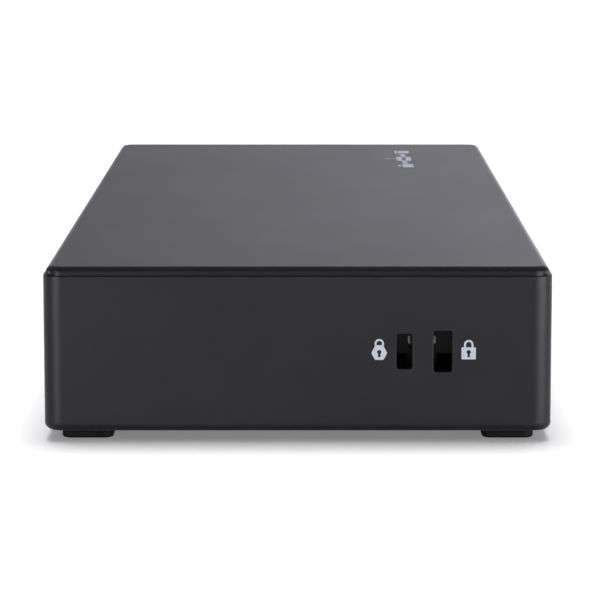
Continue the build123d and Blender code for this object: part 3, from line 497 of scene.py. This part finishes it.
def rounded_polygon(corners, radius, steps=6):
    """A convex polygon with round corners."""
    points = []
    for n, corner in enumerate(corners):
        here = Vector(corner)
        before = (Vector(corners[n - 1]) - here).normalized()
        after = (Vector(corners[(n + 1) % len(corners)]) - here).normalized()
        reach = radius / math.tan(before.angle(after) / 2)
        start = here + before * reach
        end = here + after * reach
        for step in range(steps + 1):
            t = step / steps
            points.append(tuple(start * (1 - t) ** 2 + here * 2 * t * (1 - t) + end * t * t))
    return points


def resized(outlines, scale):
    """The same outlines, larger or smaller."""
    return [[(u * scale, v * scale) for u, v in outline] for outline in outlines]


def print_mark(name, outlines, origin, right, up, material, body=DOCK):
    """Lays filled outlines on a flat face as a thin film of ink. An outline inside another is a hole."""
    curve = bpy.data.curves.new(name, "CURVE")
    curve.dimensions = "2D"
    curve.fill_mode = "BOTH"
    curve.extrude = PRINT_THICKNESS / 2
    for outline in outlines:
        spline = curve.splines.new("POLY")
        spline.points.add(len(outline) - 1)
        for point, (u, v) in zip(spline.points, outline):
            point.co = (u * MM, v * MM, 0, 1)
        spline.use_cyclic_u = True
    source = bpy.data.objects.new(name + "_outline", curve)
    mesh = bpy.data.meshes.new_from_object(source)
    bpy.data.objects.remove(source)
    right, up = Vector(right), Vector(up)
    out = right.cross(up)
    for vertex in mesh.vertices:
        u, v, w = vertex.co
        vertex.co = Vector(origin) + right * u + up * v + out * (w + PRINT_THICKNESS / 2)
    mesh.name = name
    mesh.materials.append(material)
    mark = bpy.data.objects.new(name, mesh)
    scene.collection.objects.link(mark)
    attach(mark, body)


def shackle(width, height, thickness, base):
    """A padlock's hoop, standing on a base line: an arch with legs, as one closed outline."""
    outer, inner = width / 2, width / 2 - thickness
    top = base + height - outer
    outside = [(outer, base)] + arc((0, top), outer, 0, 180) + [(-outer, base)]
    inside = [(-inner, base)] + arc((0, top), inner, 180, 0) + [(inner, base)]
    return outside + inside


def keyhole(height):
    """A round hole at a height, over a slot that widens downwards."""
    radius, length, half_slot = 0.36, 0.85, 0.234
    hole = arc((0, height), radius, -60, 240, 18)
    return hole + [(-half_slot, height - length), (half_slot, height - length)]


def square_padlock():
    """The standard slot's sign."""
    body = rounded_box((-1.20, -1.58), (1.20, 0.46), 0.16)
    return [body, keyhole(-0.35), shackle(1.58, 1.24, 0.33, 0.46)]


def round_padlock():
    """The small slot's sign: a padlock with six rounded corners."""
    right_side = [(0.72, -1.76), (1.32, -0.62), (0.66, 0.72)]
    left_side = [(-u, v) for u, v in reversed(right_side)]
    body = rounded_polygon(right_side + left_side, 0.34)
    return [body, keyhole(-0.45), shackle(1.56, 1.10, 0.32, 0.66)]


def frame_outline(low, high):
    """A hollow box, as an outer and an inner outline."""
    inner_low = (low[0] + FRAME_LINE, low[1] + FRAME_LINE)
    inner_high = (high[0] - FRAME_LINE, high[1] - FRAME_LINE)
    outer = rounded_box(low, high, FRAME_LINE * 0.8)
    return [outer, rounded_box(inner_low, inner_high, FRAME_LINE * 0.4)]


def laptop_sign():
    """A screen over a flat base."""
    return frame_outline((-1.5, -0.6), (1.5, 1.4)) + [bar((-2.2, -1.2), (2.2, -0.85))]


def screen_sign():
    """A screen on a stand."""
    stand = [bar((-0.25, -1.05), (0.25, -0.55)), bar((-1.0, -1.4), (1.0, -1.1))]
    return frame_outline((-1.9, -0.6), (1.9, 1.6)) + stand


def network_sign():
    """Three linked boxes."""
    boxes = [bar((-0.45, 0.55), (0.45, 1.4))]
    boxes += [bar((u - 0.45, -1.4), (u + 0.45, -0.55)) for u in (-1.0, 1.0)]
    links = [bar((-0.1, 0.1), (0.1, 0.5)), bar((-1.1, -0.1), (1.1, 0.1))]
    links += [bar((u - 0.1, -0.5), (u + 0.1, -0.12)) for u in (-1.0, 1.0)]
    return boxes + links


def direct_current_sign():
    """A solid line over three short ones."""
    dashes = [bar((u - 0.35, -0.5), (u + 0.35, -0.2)) for u in (-1.05, 0.0, 1.05)]
    return dashes + [bar((-1.4, 0.2), (1.4, 0.5))]


def headset_sign():
    """A band with a cup at each end."""
    band = arc((0, -0.2), 1.45, 0, 180) + arc((0, -0.2), 1.15, 180, 0)
    cups = [rounded_box((u - 0.32, -1.3), (u + 0.32, -0.25), 0.2) for u in (-1.25, 1.25)]
    return [band] + cups


def power_sign():
    """An open ring with an upright bar in its gap."""
    open_ring = arc((0, 0), 1.45, 125, 415, 32) + arc((0, 0), 1.15, 415, 125, 32)
    return [open_ring, bar((-0.15, 0.45), (0.15, 1.75))]


def double_arrow(half_length, half_height):
    """A bar with a head at each end."""
    neck, line = half_length - half_height, half_height * 0.38
    right = [(neck, -line), (neck, -half_height), (half_length, 0), (neck, half_height), (neck, line)]
    return right + [(-u, -v) for u, v in right]


def link_row():
    """The sign on the cover: a laptop, a dock and a screen, with an arrow between each two."""
    laptop = [rounded_box((-18.0, -0.85), (-12.4, 1.62), 0.4), bar((-18.7, -1.62), (-11.7, -1.10))]
    screen = [rounded_box((11.6, -0.75), (18.7, 1.62), 0.4), bar((13.4, -1.62), (16.9, -1.05))]
    dock = [rounded_box((-4.4, -1.62), (4.4, 1.62), 0.7), rounded_box((-3.0, -0.45), (3.0, 0.45), 0.4)]
    lead = [bar((-0.28, -3.1), (0.28, -1.62)), ring((0, -3.5), 0.62)]
    arrows = [[(u + middle, v) for u, v in double_arrow(2.9, 1.35)] for middle in (-8.0, 8.0)]
    return laptop + screen + dock + lead + arrows


def end_wall_marks():
    """The two padlock signs beside the lock slots."""
    signs = [
        ("small_lock", round_padlock(), SMALL_LOCK_SIGN),
        ("standard_lock", square_padlock(), STANDARD_LOCK_SIGN),
    ]
    for name, outlines, (aside, above) in signs:
        slot = mount(name + "_slot")
        place = (HIGH.x, slot.y + aside, slot.z + above)
        print_mark(name + "_sign", outlines, place, RIGHT_ON_END, UP, INK)


def cover_mark():
    """The row of signs at the cover's far end."""
    place = (COVER_SIGN_X, COVER_SIGN_Y, HIGH.z)
    print_mark("cover_sign", link_row(), place, (1, 0, 0), (0, 1, 0), TOP_INK)


def port_marks():
    """A small sign above each port that has one, and the power sign on the button."""
    signs = {
        "power_inlet": direct_current_sign(),
        "laptop_port": resized(laptop_sign(), PORT_SIGN_SCALE),
        "ethernet_jack": network_sign(),
    }
    for number in range(1, 5):
        signs[f"video_port_{number}"] = resized(screen_sign(), PORT_SIGN_SCALE)
    for name, outlines in signs.items():
        height = NETWORK_SIGN_HEIGHT if name == "ethernet_jack" else PORT_SIGN_HEIGHT
        place = (mount(name).x, HIGH.y, height)
        print_mark(name + "_sign", outlines, place, RIGHT_ON_REAR, UP, INK)
    place = (mount("audio_socket").x, LOW.y, AUDIO_SIGN_HEIGHT)
    print_mark("audio_socket_sign", headset_sign(), place, RIGHT_ON_FRONT, UP, INK)
    low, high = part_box("power_button")
    middle = (low + high) / 2
    place = (middle.x, low.y, middle.z)
    print_mark("power_button_sign", power_sign(), place, RIGHT_ON_FRONT, UP, INK, BUTTON)


# ---------------------------------------------------------------- port contacts
FRONT, REAR = -1, 1
CONTACT_THICKNESS = 0.05 * MM
CONTACT_BEVEL = 0.015 * MM
# A row of contacts: how many, then their pitch, width and length.
USB_A_ROW = (4, 2.3 * MM, 1.1 * MM, 7.5 * MM)
USB_C_ROW = (12, 0.5 * MM, 0.26 * MM, 3.6 * MM)
VIDEO_ROW = (10, 1.0 * MM, 0.45 * MM, 5.5 * MM)
# How far a row starts behind the port's mouth.
USB_A_SETBACK = 1.9 * MM
USB_C_SETBACK = 1.6 * MM
VIDEO_SETBACK = 1.7 * MM
# Half the thickness of each tongue.
USB_A_TONGUE = 0.92 * MM
USB_C_TONGUE = 0.35 * MM
VIDEO_TONGUE = 0.65 * MM
# How far a tongue's middle is above its port's. Video ports 1 and 3 are one kind, 2 and 4 another.
USB_A_RISE = 0.75 * MM
VIDEO_RISES = (((1, 3), 0.5 * MM), ((2, 4), 0.4 * MM))
# How far each port of a USB stack is from the stack's middle.
USB_STACK_RISES = (-4.5 * MM, 4.5 * MM)


def box_mesh(name, boxes, material, bevel=0.0):
    """One piece made of several small bars, each from its lowest and highest corner."""
    mesh = bpy.data.meshes.new(name)
    shape = bmesh.new()
    for low, high in boxes:
        made = bmesh.ops.create_cube(shape, size=1.0)["verts"]
        size, middle = high - low, (high + low) / 2
        for vertex in made:
            vertex.co = Vector(c * s for c, s in zip(vertex.co, size)) + middle
    if bevel:
        bmesh.ops.bevel(shape, geom=shape.edges[:], offset=bevel, segments=2, affect="EDGES", profile=0.5)
    bmesh.ops.recalc_face_normals(shape, faces=shape.faces[:])
    shape.to_mesh(mesh)
    shape.free()
    mesh.materials.append(material)
    piece = bpy.data.objects.new(name, mesh)
    scene.collection.objects.link(piece)
    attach(piece, DOCK)
    return piece


def contact_row(start, facing, row):
    """Flat contacts side by side in X, running in from a front edge, lying on a Z plane."""
    count, pitch, width, length = row
    near, far = sorted((start.y, start.y - facing * length))
    boxes = []
    for n in range(count):
        x = start.x + (n - (count - 1) / 2) * pitch
        low = Vector((x - width / 2, near, start.z))
        boxes.append((low, Vector((x + width / 2, far, start.z + CONTACT_THICKNESS))))
    return boxes


def tongue_contacts():
    """Gold contacts on the tongues of the ports."""
    gold = MATERIALS["contact_gold"]
    usb_a = [("front_usb_a", FRONT, (0.0,))]
    usb_a += [(f"usb_stack_{number}", REAR, USB_STACK_RISES) for number in (1, 2)]
    for name, facing, rises in usb_a:
        boxes = []
        for rise in rises:
            underside = rise + USB_A_RISE - USB_A_TONGUE - CONTACT_THICKNESS
            start = mount(name) + Vector((0, -facing * USB_A_SETBACK, underside))
            boxes += contact_row(start, facing, USB_A_ROW)
        box_mesh(name + "_contacts", boxes, gold, CONTACT_BEVEL)
    two_sided = [("laptop_port", REAR, USB_C_ROW, USB_C_TONGUE, USB_C_SETBACK, 0.0)]
    two_sided += [("front_usb_c", FRONT, USB_C_ROW, USB_C_TONGUE, USB_C_SETBACK, 0.0)]
    for numbers, rise in VIDEO_RISES:
        video = (REAR, VIDEO_ROW, VIDEO_TONGUE, VIDEO_SETBACK, rise)
        two_sided += [(f"video_port_{number}", *video) for number in numbers]
    for name, facing, row, half_tongue, setback, rise in two_sided:
        boxes = []
        for level in (-half_tongue - CONTACT_THICKNESS, half_tongue):
            start = mount(name) + Vector((0, -facing * setback, rise + level))
            boxes += contact_row(start, facing, row)
        box_mesh(name + "_contacts", boxes, gold)


# ---------------------------------------------------------------- stage, light and camera
FLOOR_HALF_SIZE = 1.1
SOFTBOX_DISTANCE = 0.50
SOFTBOX_RISE = 0.085
SUN_POWER = 2.5
SUN_WIDTH = 31.0
SUN_LEAN = 12.5
# The surround has a base strength, and two glows behind the object: a wide one that grows to the
# right, and a narrow one at the horizon. The camera itself sees an even backdrop.
SKY_COLOUR = (0.985, 0.965, 1.05, 1.0)
BACKDROP = 1.06
SKY_BASE = 0.30
SKY_GLOW = 0.96
SKY_GLOW_SPREAD = 6.0
SKY_GLOW_TILT = 9.5
SKY_GLOW_TILT_LIMIT = 0.85
HORIZON_GLOW = 4.2
HORIZON_SPREAD = 30.0
CAMERA_DISTANCE = 493.0 * MM
CAMERA_RISE = 67.9 * MM
CAMERA_SIDE = 1.4 * MM
CAMERA_PITCH = 8.46
CAMERA_LENS = 180.0
CAMERA_SENSOR = 36.0
CAMERA_SHIFT = -0.01
CAMERA_CLIP = (0.01, 20.0)


def floor():
    """A flat square of paper under the object."""
    size = FLOOR_HALF_SIZE
    mesh = bpy.data.meshes.new("floor")
    corners = [(-size, -size, 0), (size, -size, 0), (size, size, 0), (-size, size, 0)]
    mesh.from_pydata(corners, [], [(0, 1, 2, 3)])
    mesh.materials.append(glowing_paper("floor_paper"))
    ground = bpy.data.objects.new("floor", mesh)
    scene.collection.objects.link(ground)


def softbox(name, azimuth, size, power):
    """A light that shows only as a reflection, at an azimuth from +X about the object's near end."""
    light = bpy.data.lights.new(name, "AREA")
    light.shape = "RECTANGLE"
    light.size, light.size_y = size
    light.energy = power
    box = bpy.data.objects.new(name, light)
    target = Vector((HIGH.x, 0, HIGH.z / 2))
    angle = math.radians(azimuth)
    box.location = target + Vector((math.cos(angle), math.sin(angle), 0)) * SOFTBOX_DISTANCE
    box.location.z = SOFTBOX_RISE
    box.rotation_euler = (target - box.location).to_track_quat("-Z", "Y").to_euler()
    box.visible_camera = False
    box.visible_diffuse = False
    scene.collection.objects.link(box)


def overhead_light():
    """A wide soft light from above, leaning back, that lights the floor evenly."""
    light = bpy.data.lights.new("overhead_light", "SUN")
    light.energy = SUN_POWER
    light.angle = math.radians(SUN_WIDTH)
    sun = bpy.data.objects.new("overhead_light", light)
    sun.rotation_euler = (0, math.radians(-SUN_LEAN), 0)
    sun.visible_glossy = False
    scene.collection.objects.link(sun)


def world_light():
    """A white surround: bright low down behind the object, dimmer overhead and in front of it."""
    world = bpy.data.worlds.new("studio")
    scene.world = world
    world.use_nodes = True
    sky = NodeTree(world.node_tree)
    direction = sky.node("ShaderNodeTexCoord").outputs["Generated"]
    split = sky.node("ShaderNodeSeparateXYZ", {"Vector": direction})
    behind = sky.math("MAXIMUM", sky.multiply(split.outputs["X"], -1.0), 0.0)
    level = sky.subtract(1.0, sky.math("ABSOLUTE", split.outputs["Z"]))
    tilt = sky.math("MAXIMUM", sky.multiply(split.outputs["Y"], SKY_GLOW_TILT), -SKY_GLOW_TILT_LIMIT)
    tilt = sky.add(sky.math("MINIMUM", tilt, SKY_GLOW_TILT_LIMIT), 1.0)
    glow = sky.multiply(behind, sky.math("POWER", level, SKY_GLOW_SPREAD))
    glow = sky.multiply(sky.multiply(glow, tilt), SKY_GLOW)
    horizon = sky.multiply(behind, sky.math("POWER", level, HORIZON_SPREAD))
    horizon = sky.multiply(horizon, HORIZON_GLOW)
    strength = sky.add(sky.add(glow, horizon), SKY_BASE)
    seen = sky.multiply(sky.node("ShaderNodeLightPath").outputs["Is Camera Ray"], BACKDROP)
    background = world.node_tree.nodes["Background"]
    sky.connect(background.inputs["Strength"], sky.math("MAXIMUM", strength, seen))
    sky.connect(background.inputs["Color"], SKY_COLOUR)


def camera():
    """A long lens that looks at the near end from a little above."""
    data = bpy.data.cameras.new("camera")
    data.sensor_width = CAMERA_SENSOR
    data.lens = CAMERA_LENS
    data.shift_x = CAMERA_SHIFT
    data.clip_start, data.clip_end = CAMERA_CLIP
    eye = bpy.data.objects.new("camera", data)
    eye.location = (HIGH.x + CAMERA_DISTANCE, CAMERA_SIDE, HIGH.z + CAMERA_RISE)
    eye.rotation_euler = (math.radians(90 - CAMERA_PITCH), 0, math.radians(90))
    scene.collection.objects.link(eye)
    scene.camera = eye


dress_cad_nodes()
end_wall_marks()
cover_mark()
port_marks()
tongue_contacts()
floor()
world_light()
overhead_light()
softbox("left_light", azimuth=-36, size=(0.22, 0.16), power=2.5)
softbox("right_light", azimuth=53, size=(0.46, 0.16), power=4.8)
camera()
